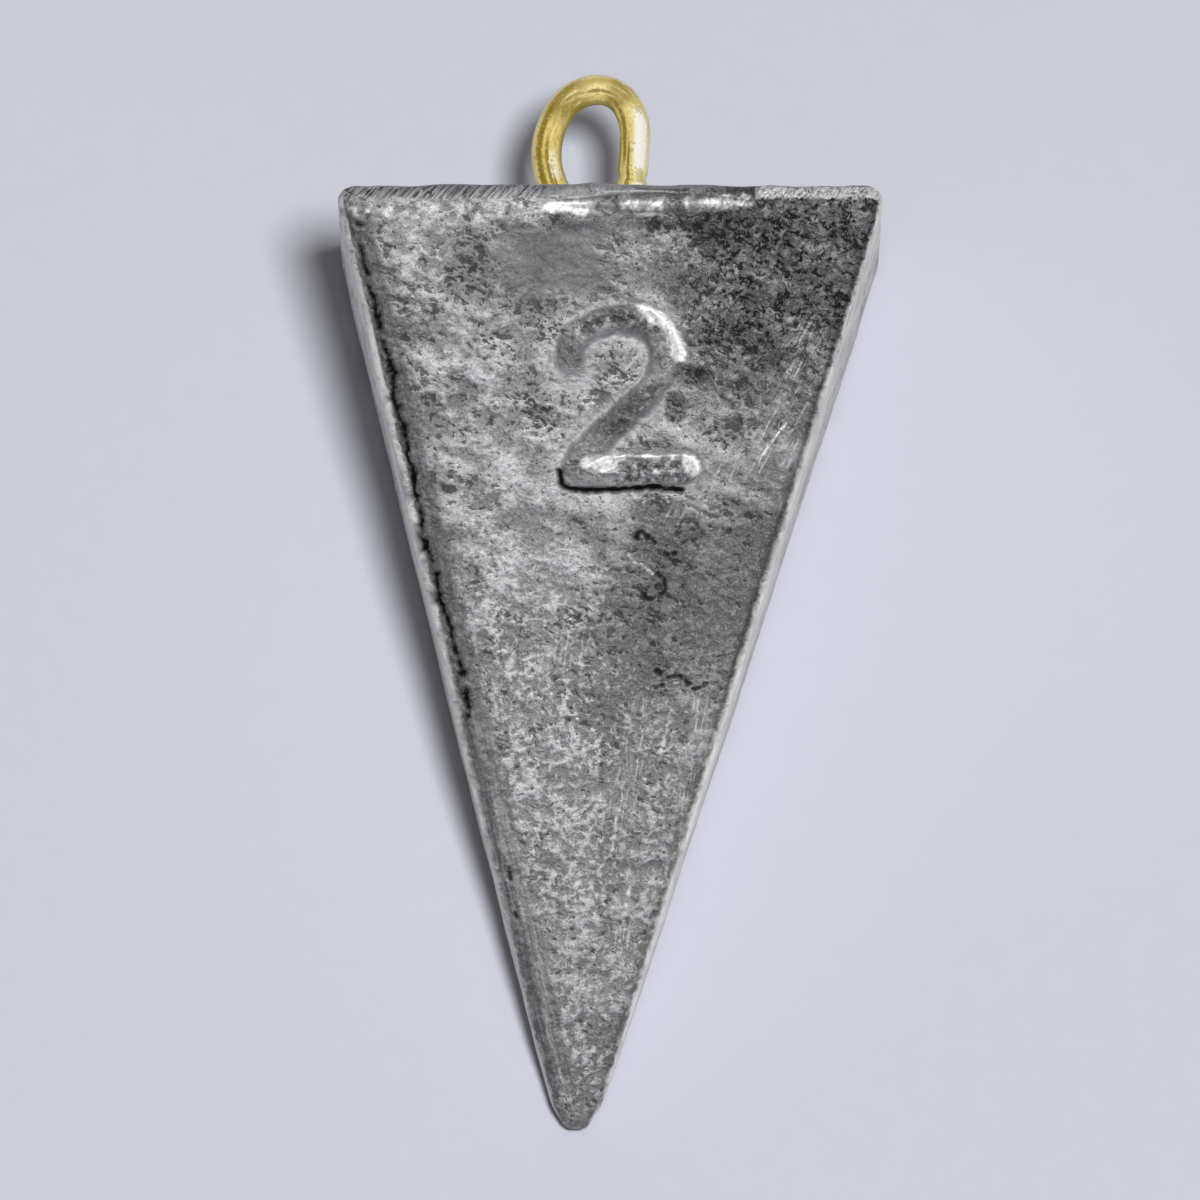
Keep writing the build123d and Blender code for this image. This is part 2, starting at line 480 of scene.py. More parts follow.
drawing = {
    "numeral": [[
        (-1.34, 7.1), (-1.5, 6.6), (-1.45, 6.1), (-1.2, 5.66), (-0.75, 5.32), (-0.2, 5.13), (0.3, 5.07),
        (0.9, 5.15), (1.4, 5.4), (1.76, 5.82), (1.92, 6.35), (1.86, 6.92), (1.6, 7.5), (1.15, 8.05), (0.58, 8.57),
        (-0.05, 9.1), (-0.62, 9.65), (-1.05, 10.15), (-1.25, 10.6),
    ]],
    "bar": [[(-1.3, 10.79), (-0.04, 10.76), (1.43, 10.72), (2.65, 10.68)]],
    "seams": [
        [(-9.29, 1.57), (-9.04, 2.94), (-8.75, 4.35), (-8.28, 6.21), (-7.73, 8.81), (-7.1, 12.53),
         (-6.43, 15.13), (-5.9, 16.99), (-5.27, 19.79)],
    ],
    "cracks": [
        [(-1.9, 10.7), (-1.86, 11.05), (-1.62, 11.34), (-1.2, 11.44), (-0.5, 11.44), (0.6, 11.38), (1.5, 11.33),
         (2.6, 11.4)],
    ],
    "fissures": [
        [(0.96, 13.21), (1.03, 13.05), (1.16, 12.96), (1.32, 13.05), (1.41, 13.21), (1.52, 13.27), (1.63, 13.41)],
        [(2.1, 13.84), (2.18, 13.86)], [(2.3, 13.8), (2.37, 13.72)],
        [(1.68, 14.52), (1.87, 14.69), (1.98, 14.97), (1.96, 15.24), (1.79, 15.37)],
        [(1.61, 15.42), (1.34, 15.46), (1.19, 15.35)], [(1.7, 18.1), (1.85, 18.22)], [(1.39, 18.73), (1.92, 18.73)],
        [(2.14, 18.41), (2.37, 18.32), (2.63, 18.39), (2.81, 18.57), (3.04, 18.8), (3.26, 18.8), (3.52, 18.66)],
        [(-3.78, 25.4), (-3.64, 25.9)], [(-3.5, 27.2), (-3.4, 27.5)],
    ],
    # shades: painted shade under the gate lip, in a notch and round pit clusters, and dark smudges
    "shades": [
        [(0.95, 8.0), (0.3, 8.6), (-0.4, 9.2)], [(-2.0, 1.4), (2.0, 1.42), (5.2, 1.25)], [(5.3, 0.5), (5.8, 0.45)],
        [(2.65, 7.12), (3.3, 7.22)], [(2.3, 8.2), (2.36, 8.55)], [(3.2, 1.9), (3.6, 2.6)],
    ],
    "rubs": [
        [(5.4, 10.4), (6.4, 7.9), (7.3, 5.4)], [(6.6, 10.2), (7.6, 7.6)], [(2.4, 12.4), (4.6, 10.6)],
        [(3.2, 19.5), (2.6, 23.5)], [(1.3, 19.6), (0.7, 22.0), (0.2, 24.6)], [(-0.9, 16.7), (-2.2, 18.0)],
        [(0.7, 26.0), (0.3, 28.4)],
    ],
    "dents": [
        [(3.46, 5.92), (3.52, 5.95)], [(2.65, 7.12), (3.3, 7.22)], [(2.33, 8.2), (2.36, 8.55)],
        [(1.72, 25.5), (1.78, 25.9)],
    ],
    "pitted": [
        [(-0.15, 6.3), (0.55, 6.5), (0.5, 7.1)], [(-2.6, 8.9), (-1.9, 9.1)],
        [(2.65, 7.12), (3.3, 7.22)], [(2.33, 8.2), (2.36, 8.55)], [(3.6, 9.2), (4.1, 9.5)],
        [(3.46, 5.92), (3.52, 5.95)],
        [(-5.6, 3.4), (-4.6, 3.6)], [(-4.7, 5.6), (-4.0, 6.3)], [(-2.4, 5.5), (-2.1, 5.4)], [(-3.1, 8.2), (-2.5, 8.3)],
        [(-1.4, 16.3), (-0.9, 16.5)], [(1.8, 1.5), (4.6, 1.9)], [(-0.5, 0.8), (0.4, 0.8)], [(2.0, 0.75), (2.6, 0.75)],
    ],
    # highlights: lines of painted light, mostly round the numeral and below its bar
    "lights": [
        [(-0.25, 6.1), (0.35, 5.85), (0.95, 6.05), (1.15, 6.6)], [(-2.05, 5.7), (-2.15, 6.3), (-1.95, 7.1)],
        [(-1.75, 9.5), (-2.05, 10.4)], [(-1.9, 11.75), (-1.0, 11.95), (0.4, 11.9)], [(0.3, 9.75), (0.9, 9.3)],
        [(6.85, 5.5), (6.5, 6.9), (6.15, 8.3)],
    ],
    # glints: painted highlights on the numeral's bowl and bar and on the gate
    "glints": [
        [(1.3, 4.74), (1.86, 5.06), (2.24, 5.6), (2.52, 6.4)], [(-0.85, 10.45), (0.05, 10.45)],
        [(2.9, 10.35), (3.05, 10.6)], [(-2.25, 0.85), (-0.95, 0.95)], [(0.5, 0.9), (1.8, 0.9)],
        [(2.9, 0.8), (4.9, 0.65)],
    ],
    # scratches: grooves; the lines along the bar's top edge and a few short bright spots are painted highlights
    "scratches": [
        [(1.17, 20.53), (1.03, 21.09)], [(0.22, 23.52), (0.04, 24.82)], [(3.08, 22.96), (3.27, 24.82)],
        [(2.2, 19.6), (1.75, 21.6)], [(2.33, 18.57), (2.46, 18.57)],
        [(0.2, 10.22), (0.5, 10.14), (0.9, 10.22), (1.3, 10.1), (1.7, 10.2), (2.1, 10.1), (2.8, 10.17)],
        [(0.3, 10.3), (1.1, 10.16), (1.9, 10.26), (2.7, 10.2)],
        [(6.45, 8.92), (6.0, 9.45), (5.59, 10.05)], [(0.7, 26.2), (0.3, 28.2)],
        [(0.63, 13.75), (0.81, 14.04), (1.16, 14.2), (1.52, 14.52)],
    ],
}


# sizes of the casting that its tree takes as inputs
skinSizes = {
    "Swell": "swell", "Wrinkle": "wrinkle", "Flake": "flake", "Pit Depth": "pitDepth", "Rib Height": "ribHeight",
    "Rib Half": "ribHalf", "Bar Half": "barHalf", "Bar Height": "barHeight", "Crack Depth": "crackDepth",
    "Dent Depth": "dentDepth", "Scratch Depth": "scratchDepth", "Side Bow": "sideBow", "Bow Span": "bowSpan",
    "Side Span": "sideSpan", "Side Depth": "sideDepth", "Tip Middle": "tipMiddle", "Tip Draw": "tipDraw",
    "Gate Middle": "gateMiddle", "Gate Half": "gateHalf", "Edge Lean": "edgeLean", "Edge Start": "edgeStart",
}


def makeCastSkin():
    tree = bpy.data.node_groups.new("castSkin", "GeometryNodeTree")
    addInputs(tree, [("Geometry", "Geometry", None)])
    addInputs(tree, [(name.capitalize(), "Object", None) for name in drawing])
    addInputs(tree, [(name, "Vector", None) for name in
                     ("Face Point", "Face Normal", "Face Up", "Axis", "Box Low", "Box High", "Seed")])
    addInputs(tree, [(name, "Float", 0.1) for name in skinSizes])
    addInputs(tree, [("Material", "Material", None)])
    tree.interface.new_socket("Geometry", in_out="OUTPUT", socket_type="NodeSocketGeometry")
    given = addNode(tree, "NodeGroupInput").outputs

    # place on the casting, and which way its skin faces
    position = addNode(tree, "GeometryNodeInputPosition").outputs[0]
    normal = addNode(tree, "GeometryNodeInputNormal").outputs[0]
    rel = vecCalc(tree, "SCALE", vecCalc(tree, "SUBTRACT", position, given["Face Point"]), 1 / mm)
    skin = castPattern(tree, rel, given["Face Normal"], given["Face Up"], given["Seed"])
    acrossAt, downAt, outAt, solid = (skin[name] for name in ("across", "down", "out", "solid"))
    drawn = combine(tree, acrossAt, downAt)
    shake = vecCalc(tree, "MULTIPLY", skin["stir"], (1, 1, 0))
    facing = vecCalc(tree, "DOT_PRODUCT", normal, given["Face Normal"])
    topward = vecCalc(tree, "DOT_PRODUCT", normal, given["Axis"])
    rightward = vecCalc(tree, "DOT_PRODUCT", normal, (1, 0, 0))
    sideward = calc(tree, "ABSOLUTE", rightward)
    front = fade(tree, facing, 0.72, 0.97)
    nearFront = times(tree, fade(tree, facing, 0.1, 0.5), fade(tree, outAt, -2.5, -1.2))
    onFront = fade(tree, outAt, -3.0, -1.5)
    side = fade(tree, sideward, 0.7, 0.94)
    flank = fade(tree, sideward, 0.66, 0.86)

    def reach(name, wander=0.0, scale=2.5, bend=0.0):
        # distance to the lines drawn on the face, with a little wander in their width and course
        lines = addNode(tree, "GeometryNodeObjectInfo", {"Object": given[name]}).outputs["Geometry"]
        near = addNode(tree, "GeometryNodeProximity", target_element="EDGES")
        plug(tree, near.inputs[0], lines)
        plug(tree, near.inputs["Sample Position"], vecCalc(tree, "ADD", drawn, vecCalc(tree, "SCALE", shake, bend)))
        far = near.outputs["Distance"]
        return total(tree, far, sway(tree, solid, scale, wander)) if wander else far

    def patchy(scale, start, end, detail=2.0, rough=0.5):
        # breaks a mark up into patches
        return fade(tree, noise(tree, solid, scale, detail, rough), start, end)

    # raised numeral with a rounded rib and a flatter bar, in a shallow smooth hollow
    numeralFar = reach("Numeral", 0.3, 2.2, 0.1)
    barFar = reach("Bar", 0.1, 1.2)
    ribAt = calc(tree, "DIVIDE", numeralFar, given["Rib Half"], clamp=True)
    rib = remain(tree, times(tree, ribAt, ribAt))
    hookEnd = times(tree, fade(tree, downAt, 6.3, 7.3), fade(tree, downAt, 8.4, 8.0), fade(tree, acrossAt, -0.3, -0.7))
    fadeOut = remain(tree, hookEnd)
    rib = times(tree, fade(tree, rib, 0.0, 1.0), fadeOut)
    pitted = times(tree, fade(tree, reach("Pitted", 0.4, 1.8, 0.4), 0.75, 0.25), onFront)
    barAt = calc(tree, "DIVIDE", barFar, given["Bar Half"])
    bar = fade(tree, barAt, 1.0, 0.0)
    mark = most(tree, times(tree, fade(tree, ribAt, 1.0, 0.5), fadeOut), fade(tree, barAt, 1.0, 0.75))
    mark = times(tree, mark, onFront)
    markFar = calc(tree, "MINIMUM", numeralFar, barFar)
    # the hollow round the numeral reaches further on its left; its paler colour is a painted highlight
    haloFar = total(tree, markFar, times(tree, fade(tree, acrossAt, -1.5, 2.2), 0.5), sway(tree, solid, 1.2, 0.9))
    halo = times(tree, fade(tree, haloFar, 1.65, 0.8), onFront, remain(tree, mark))
    raised = most(tree, times(tree, rib, given["Rib Height"]), times(tree, bar, given["Bar Height"]))

    # other marks
    seamFar = reach("Seams", 0.42, 4.5, 0.8)
    edgeAt = total(tree, acrossAt, times(tree, downAt, given["Edge Lean"], -1), given["Edge Start"],
                   sway(tree, solid, 1.0, 0.25))
    bandHalf = fade(tree, downAt, 14.0, 24.0, 0.62, 0.8)
    bandFar = calc(tree, "DIVIDE", calc(tree, "ABSOLUTE", edgeAt), bandHalf)
    seamBand = times(tree, fade(tree, bandFar, 1.0, 0.4), nearFront, fade(tree, facing, 0.3, 0.6),
                     fade(tree, downAt, 34.6, 33.0))
    seam = times(tree, fade(tree, seamFar, 0.17, 0.05), patchy(1.7, 0.37, 0.46), nearFront)
    crack = times(tree, fade(tree, reach("Cracks", 0.2, 4.0, 0.2), 0.135, 0.05), nearFront)
    fissure = times(tree, fade(tree, reach("Fissures", 0.16, 4.0, 0.5), 0.095, 0.03), nearFront,
                    patchy(2.2, 0.36, 0.5), 0.85)
    crack = most(tree, seam, crack, fissure)
    dentFar = reach("Dents", 0.3, 2.5, 0.3)
    dent = times(tree, fade(tree, dentFar, 0.5, 0.1), front)
    # the rim round a dent is painted paler, a painted highlight
    rim = calc(tree, "ABSOLUTE", calc(tree, "SUBTRACT", dentFar, 0.5))
    rim = times(tree, fade(tree, rim, 0.15, 0.04), patchy(1.3, 0.44, 0.54), front)
    scratch = times(tree, fade(tree, reach("Scratches", 0.1), 0.08, 0.03), front,
                    patchy(1.8, 0.36, 0.52))
    rub = times(tree, fade(tree, reach("Rubs", 0.5, 1.5, 0.4), 0.8, 0.1), front)
    # painted shade and dark smudges along the drawn shade lines
    shade = times(tree, fade(tree, reach("Shades", 0.3, 1.5, 0.4), 0.55, 0.1), nearFront)
    # painted highlights along the drawn glint lines
    glint = times(tree, fade(tree, reach("Glints", 0.5, 2.4, 0.2), 0.36, 0.12), nearFront)

    # the skin is rough on the flat of the front, plainer round the numeral and on the sides
    bareSpot = times(tree, fade(tree, acrossAt, -6.0, -2.8), fade(tree, acrossAt, 1.0, -1.2),
                     fade(tree, downAt, 1.0, 2.2), fade(tree, downAt, 5.2, 3.6))
    bareSpot = times(tree, fade(tree, total(tree, bareSpot, sway(tree, solid, 1.1, 1.3, 4.0, 0.6)), 0.1, 1.0), onFront)
    gateOff = calc(tree, "ABSOLUTE", calc(tree, "SUBTRACT", acrossAt, given["Gate Middle"]))
    gate = times(tree, fade(tree, calc(tree, "DIVIDE", gateOff, given["Gate Half"]), 1.05, 0.9),
                 fade(tree, downAt, 1.5, 0.9), fade(tree, outAt, -2.0, -1.0))
    markCalm = times(tree, fade(tree, markFar, 0.98, 0.62, 0.0, 0.75), fade(tree, mark, 0.0, 1.0, 1.0, 0.6),
                     fade(tree, pitted, 0.0, 1.0, 1.0, 0.15), onFront)
    calm = most(tree, markCalm, times(tree, bareSpot, 0.85), times(tree, rub, 0.35), glint, times(tree, gate, 0.35),
                times(tree, seamBand, 0.6))
    rough = times(tree, fade(tree, front, 0.0, 1.0, 0.35, 1.0), fade(tree, calm, 0.0, 1.0, 1.0, 0.25))
    swell = times(tree, sway(tree, solid, 0.17, given["Swell"], 2.0, 0.5), fade(tree, downAt, 35.0, 32.0))
    topWave = times(tree, sway(tree, solid, 0.5, 0.3), fade(tree, topward, 0.2, 0.6))
    skinRise = total(tree, times(tree, calc(tree, "SUBTRACT", skin["cloud"], 0.5), given["Wrinkle"]),
                     times(tree, skin["light"], given["Flake"]),
                     times(tree, castPits(tree, skin, pitted), given["Pit Depth"], -1))
    bowAt = calc(tree, "DIVIDE", downAt, given["Bow Span"], clamp=True)
    bow = times(tree, calc(tree, "SINE", times(tree, bowAt, math.pi)), side, given["Side Bow"])
    gateLump = times(tree, sway(tree, vecCalc(tree, "MULTIPLY", solid, (1.0, 0.4, 0.4)), 0.9, 0.25, 2.0), gate)

    rise = total(
        tree, -0.02, swell, times(tree, skinRise, rough), times(tree, crack, given["Crack Depth"], -1),
        times(tree, dent, given["Dent Depth"], -1), times(tree, scratch, given["Scratch Depth"], -1),
        times(tree, raised, nearFront), times(tree, halo, nearFront, -0.04), bow, gateLump, topWave,
    )
    moved = vecCalc(tree, "ADD", position, vecCalc(tree, "SCALE", normal, times(tree, rise, mm)))
    # the tip is drawn in to a blunt point
    draw = times(tree, given["Tip Draw"], mm)
    lean = times(tree, calc(tree, "SUBTRACT", given["Tip Middle"], acrossAt), fade(tree, downAt, 34.5, 35.4), draw)
    moved = vecCalc(tree, "ADD", moved, combine(tree, lean))
    short = vecCalc(tree, "SCALE", given["Face Up"], fade(tree, downAt, 34.0, 35.4, 0.0, draw))
    moved = vecCalc(tree, "ADD", moved, short)
    moved = vecCalc(tree, "MINIMUM", vecCalc(tree, "MAXIMUM", moved, given["Box Low"]), given["Box High"])

    # marks that the finish reads
    filed = times(tree, fade(tree, topward, -0.12, 0.2), fade(tree, topward, 0.99, 0.9),
                  fade(tree, facing, -0.3, 0.0), fade(tree, gate, 0.6, 0.2))
    lipEdge = total(tree, times(tree, most(tree, total(tree, acrossAt, 0.5), 0.0), 0.074), downAt, -0.57)
    lip = times(tree, gate, fade(tree, total(tree, lipEdge, sway(tree, solid, 1.2, 0.1)), 0.06, -0.05))
    burr = times(tree, fade(tree, downAt, 0.7, 0.85), fade(tree, downAt, 1.5, 1.1), fade(tree, gate, 0.5, 0.0),
                 patchy(2.6, 0.5, 0.6), fade(tree, acrossAt, 1.0, -2.5), front, 0.5)
    dulled = times(tree, gate, fade(tree, acrossAt, -0.8, 0.3), patchy(4.2, 0.56, 0.45, 3.0, 0.65))
    blotch = noise(tree, solid, 4.4, 3.0, 0.65)
    barBody = times(tree, fade(tree, barFar, 0.5, 0.3), fade(tree, acrossAt, 0.0, 0.3), nearFront)
    barFleck = times(tree, barBody, fade(tree, blotch, 0.53, 0.62), 0.55)
    # wear and painted highlights: the glints, scratches that include the bar's top edge, the burr and pale blotches on
    # the bar
    worn = most(tree, times(tree, glint, fade(tree, dulled, 0.0, 1.0, 0.85, 0.2)),
                times(tree, scratch, fade(tree, downAt, 11.0, 12.0, 0.7, 0.4)), burr, barFleck)
    worn = times(tree, worn, remain(tree, crack))
    # dark streaks on the crest, mostly on top of the bowl and half way down; the bar is blotched
    halfWay = times(tree, fade(tree, downAt, 7.2, 7.7), fade(tree, downAt, 9.4, 8.8))
    streaky = most(tree, fade(tree, downAt, 5.9, 5.4), halfWay, 0.35)
    smear = times(tree, fade(tree, numeralFar, 0.46, 0.1), fadeOut, streaky,
                  patchy(3.2, 0.44, 0.53, 3.0, 0.65))
    smear = most(tree, times(tree, smear, onFront), times(tree, barBody, fade(tree, blotch, 0.5, 0.42)))
    # darker along the left edge, at the upper right, in the middle and towards the tip, and darker off the front
    nearEdge = times(tree, fade(tree, edgeAt, 1.7, 0.3), fade(tree, downAt, 0.8, 2.5), fade(tree, downAt, 24.0, 17.0))
    drift = total(tree, times(tree, nearEdge, 0.38),
                  times(tree, fade(tree, acrossAt, -1.5, 6.0), fade(tree, downAt, 16.0, 7.0), 0.32),
                  times(tree, fade(tree, acrossAt, 1.0, 6.0), fade(tree, downAt, 9.0, 3.0), 0.3),
                  times(tree, fade(tree, acrossAt, -1.5, 1.5), fade(tree, downAt, 11.0, 13.5),
                        fade(tree, downAt, 22.0, 17.0), 0.72), fade(tree, downAt, 17.0, 28.0, 0.0, 0.18))
    drift = total(tree, times(tree, drift, onFront), fade(tree, onFront, 1.0, 0.0, 0.0, 0.3))
    # a darker line where the right edge starts to round over
    rightLine = times(tree, fade(tree, rightward, 0.45, 0.6), fade(tree, rightward, 0.82, 0.72))
    edgeFrom = fade(tree, downAt, 4.0, 28.0, 0.6, 0.82)
    # painted sheen on the side strips: full on the right side, less on the left, fading back from the front edge and
    # broken in patches
    edge = most(tree, fade(tree, calc(tree, "ADD", rightward, edgeFrom), 0.0, -0.12), fade(tree, rightward, 0.78, 0.9))
    edge = times(tree, edge, fade(tree, rightward, -0.2, 0.2, 0.7, 1.0))
    spanLeft = calc(tree, "SUBTRACT", given["Side Span"], downAt)
    depthHere = most(tree, times(tree, spanLeft, given["Side Depth"]), 1.5)
    depthAt = total(tree, calc(tree, "DIVIDE", outAt, depthHere), sway(tree, solid, 0.4, 0.5, 4.0, 0.6))
    sidePatch = noise(tree, solid, 0.8, 5.0, 0.65)
    edge = times(tree, edge, fade(tree, depthAt, -0.9, -0.1, 0.45, 1.0), fade(tree, sidePatch, 0.36, 0.6, 0.62, 1.0))
    # darker tone: stains and streaks on the numeral, the smooth spot, the darker regions, and painted shade from the
    # drawn shade lines
    tarnish = total(tree, drift, sway(tree, solid, 0.35, 0.5, 3.0, 0.55), times(tree, mark, 0.08),
                    times(tree, smear, 0.9), times(tree, bareSpot, 0.44), times(tree, shade, 0.58),
                    times(tree, seamBand, fade(tree, downAt, 16.0, 24.0, 0.35, 0.12)),
                    times(tree, rightLine, fade(tree, downAt, 12.0, 24.0, 0.5, 0.12)))
    tarnish = calc(tree, "MINIMUM", most(tree, tarnish, 0.0), 0.92)
    # tarnish and painted shade are kept off the side strips' sheen, the filed top edge and the lip
    keptPale = most(tree, times(tree, flank, fade(tree, edge, 0.0, 0.6, 0.4, 1.0)), times(tree, filed, 0.7), lip)
    tarnish = times(tree, tarnish, remain(tree, keptPale))
    # painted highlights: a pale patch below the bar's crack and pale patches along the drawn highlight lines
    barFoot = times(tree, fade(tree, barAt, 1.15, 0.7), fade(tree, downAt, 10.75, 11.0),
                    fade(tree, acrossAt, 2.6, -0.6, 0.4, 0.85), fade(tree, blotch, 0.4, 0.55, 0.4, 1.0))
    lit = times(tree, fade(tree, reach("Lights", 0.4, 2.0, 0.4), 0.5, 0.1), fade(tree, blotch, 0.36, 0.54, 0.3, 1.0),
                front, remain(tree, mark), fade(tree, acrossAt, 3.0, 5.0, 0.8, 0.5))
    # painted light, all mixed toward the light colour: the pale hollow round the numeral, the paler lip, dent rims and
    # the patches above
    paintedLight = most(tree, times(tree, halo, 0.6), times(tree, lip, 0.4), times(tree, rim, 0.7), barFoot, lit)
    shape = given["Geometry"]
    for name, value in (
        ("crack", crack), ("tarnish", tarnish), ("worn", worn), ("filed", filed), ("side", edge), ("calm", calm),
        ("halo", paintedLight), ("rub", rub), ("pitted", pitted), ("band", seamBand), ("edgeAt", edgeAt),
    ):
        shape = keepMark(tree, shape, name, value)
    shape = addNode(tree, "GeometryNodeSetPosition", {"Geometry": shape, "Position": moved}).outputs[0]
    dress(tree, shape, given["Material"])
    return tree


def onFace(point):
    rel = (point - facePoint) / mm
    return Vector((rel.x, -rel.dot(faceUp), rel.dot(faceNormal)))


def castBlank():
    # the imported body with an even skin, finer on the front and finest round the numeral
    mesh = leadNode.data.copy()
    bm = bmesh.new()
    bm.from_mesh(mesh)
    bmesh.ops.remove_doubles(bm, verts=bm.verts, dist=0.001 * mm)
    bm.to_mesh(mesh)
    surface = BVHTree.FromBMesh(bm)
    bm.free()
    blank = addObject("leadCasting", mesh)
    skin = blank.modifiers.new("evenSkin", "REMESH")
    skin.mode = "VOXEL"
    skin.voxel_size = casting["skinStep"] * mm
    settle(blank)
    bm = bmesh.new()
    bm.from_mesh(blank.data)
    faces = [face for face in bm.faces if face.normal.dot(faceNormal) > casting["frontFacing"]]
    edges = {edge for face in faces for edge in face.edges}
    bmesh.ops.subdivide_edges(bm, edges=list(edges), cuts=casting["frontCuts"], use_grid_fill=True)
    strokes = []
    for name, reach in (("numeral", "strokeReach"), ("bar", "strokeReach"), ("fissures", "lineReach"),
                        ("scratches", "lineReach"), ("cracks", "lineReach")):
        strokes += [(Vector(point), casting[reach]) for run in drawing[name] for point in run]
    edges = set()
    for face in bm.faces:
        if face.normal.dot(faceNormal) > casting["flatFacing"]:
            place = onFace(face.calc_center_median()).xy
            if any((place - point).length < reach for point, reach in strokes):
                edges.update(face.edges)
    bmesh.ops.subdivide_edges(bm, edges=list(edges), cuts=casting["lineCuts"], use_grid_fill=True)
    for vert in bm.verts:
        vert.co = surface.find_nearest(vert.co)[0]
    bm.to_mesh(blank.data)
    bm.free()
    return blank


def makeCasting():
    blank = castBlank()
    low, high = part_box("lead_body")
    lines = {}
    for name, runs in drawing.items():
        curves = [smoothRun([(*point, 0) for point in run]) for run in runs]
        lines[name.capitalize()] = drawLines(name + "Lines", curves)
    values = {
        "Face Point": facePoint, "Face Normal": faceNormal, "Face Up": faceUp, "Axis": axisDir,
        "Box Low": low, "Box High": high, "Seed": castSeed, "Material": castLead,
    }
    sizes = {name: casting[key] for name, key in skinSizes.items()}
    addModifier(blank, makeCastSkin(), {**values, **sizes, **lines})
    settle(blank)
    for line in lines.values():
        bpy.data.meshes.remove(line.data)
    print("sinker: casting has", sum(len(face.vertices) - 2 for face in blank.data.polygons), "triangles")
    return blank


leadCasting = makeCasting()
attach(leadCasting, "root")
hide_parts("lead_body")


brassFinish = {
    "bright": (0.89, 0.77, 0.39, 1),
    "dull": (0.73, 0.58, 0.13, 1),
    "deep": (0.28, 0.19, 0.004, 1),
    # pale brass, also the colour of painted highlights
    "paleAndSheen": (0.92, 0.86, 0.62, 1),
    "glintWhite": (0.90, 0.87, 0.79, 1),
    "roughness": 0.76,
    "metal": 0.3,
    "bumpDepth": 0.05,
}


def makeBrassWire():
    look = brassFinish
    made, tree = startMaterial("brassWire")
    # drawn lines run along the wire; outer is 1 on the outside of the loop and -1 inside it
    along, outer, stain, rubbed = (readMark(tree, name) for name in ("along", "outer", "stain", "rubbed"))
    turn = addNode(tree, "ShaderNodeAttribute", attribute_name="turn").outputs["Vector"]
    drawn = vecCalc(tree, "ADD", turn, combine(tree, z=times(tree, along, 0.16)))
    aged = addNode(tree, "ShaderNodeGroup", {
        "Vector": drawn, "Patch Scale": 1.6, "Grain Scale": 6.0,
        "Bright": look["bright"], "Dull": look["dull"], "Dulling": 0.5,
    }, node_tree=agedMetal)
    place = vecCalc(tree, "SCALE", addNode(tree, "ShaderNodeTexCoord").outputs["Object"], 1 / mm)
    speck = noise(tree, tilt(tree, place), 9.0, 2.0, 0.6)
    course = total(tree, outer, sway(tree, place, 1.1, 0.2), sway(tree, place, 8.0, 0.16))

    def stripe(middle, half):
        return fade(tree, calc(tree, "ABSOLUTE", total(tree, course, -middle)), half, half * 0.35)

    leftLeg = fade(tree, along, 10.5, 12.5)
    broken = fade(tree, noise(tree, drawn, 2.2, 2.0), 0.42, 0.54)
    rightLeg = times(tree, fade(tree, along, 10.2, 9.4), fade(tree, along, 6.4, 7.2))
    line = most(
        tree, times(tree, stripe(0.66, 0.2), fade(tree, leftLeg, 0.0, 1.0, 0.35, 0.95)),
        times(tree, stripe(0.05, 0.15), broken, 0.9),
        times(tree, stripe(0.24, 0.15), fade(tree, along, 12.6, 13.6), 0.9),
        times(tree, stripe(-0.3, 0.2), rightLeg, 0.85), times(tree, stripe(-0.85, 0.25), 0.5),
    )
    crown = times(tree, stain, fade(tree, aged.outputs["Grain"], 0.25, 0.5))
    dots = times(tree, fade(tree, speck, 0.46, 0.34), 0.55)
    dark = most(tree, line, crown, dots)
    # painted highlights on the legs: pale, and white where strongest
    colour = mixColour(tree, times(tree, fade(tree, rubbed, 0.08, 0.4), 0.75), aged.outputs["Colour"], look["paleAndSheen"])
    colour = mixColour(tree, dark, colour, look["deep"])
    # painted highlight: the outer side of the loop is paler
    colour = mixColour(tree, times(tree, fade(tree, course, 0.8, 0.95), 0.75), colour, look["paleAndSheen"])
    colour = mixColour(tree, times(tree, fade(tree, speck, 0.54, 0.7), 0.22), colour, look["paleAndSheen"])
    ragged = total(tree, rubbed, sway(tree, tilt(tree, place), 8.0, 1.1, 3.0, 0.6))
    # painted highlight: white on the legs where the highlight spots are strongest
    colour = mixColour(tree, fade(tree, ragged, 0.45, 0.6), colour, look["glintWhite"])
    height = total(tree, times(tree, aged.outputs["Grain"], 0.4), times(tree, speck, 0.5), times(tree, line, -0.6))
    bump = addNode(tree, "ShaderNodeBump", {"Strength": 0.8, "Distance": look["bumpDepth"] * mm, "Height": height})
    roughness = total(tree, look["roughness"], times(tree, aged.outputs["Patch"], 0.15))
    shader = addNode(tree, "ShaderNodeBsdfPrincipled", {
        "Base Color": colour, "Roughness": roughness, "Metallic": look["metal"], "Normal": bump.outputs[0],
    })
    endMaterial(tree, shader)
    return made


brassWire = makeBrassWire()

# wire eye; its bends are (radius, angle) in mm and degrees from the crown down each side, a run is (length, None)
eyeLook = {
    "wire": 1.15,
    "mountRise": 2.2,
    "crown": (0.3, 4.575),
    "left": [(1.7, 55), (2.95, 63), (1.6, -58), (4.5, None)],
    "right": [(1.2, 55), (2.05, 39), (2.3, None), (1.6, -34), (4.5, None)],
    "step": 0.1,
    "sides": 36,
    "waver": 0.05,
    "kinkAt": 6.3,
    "kinkDepth": 0.07,
    "stains": [(11.6, 1.2, 0.8), (9.5, 0.7, 0.75)],
    # rubs are painted highlight spots on the legs, as (along, half, strength)
    "rubs": [(7.6, 1.6, 1.0), (5.8, 0.45, 0.9), (14.2, 0.9, 0.45)],
}


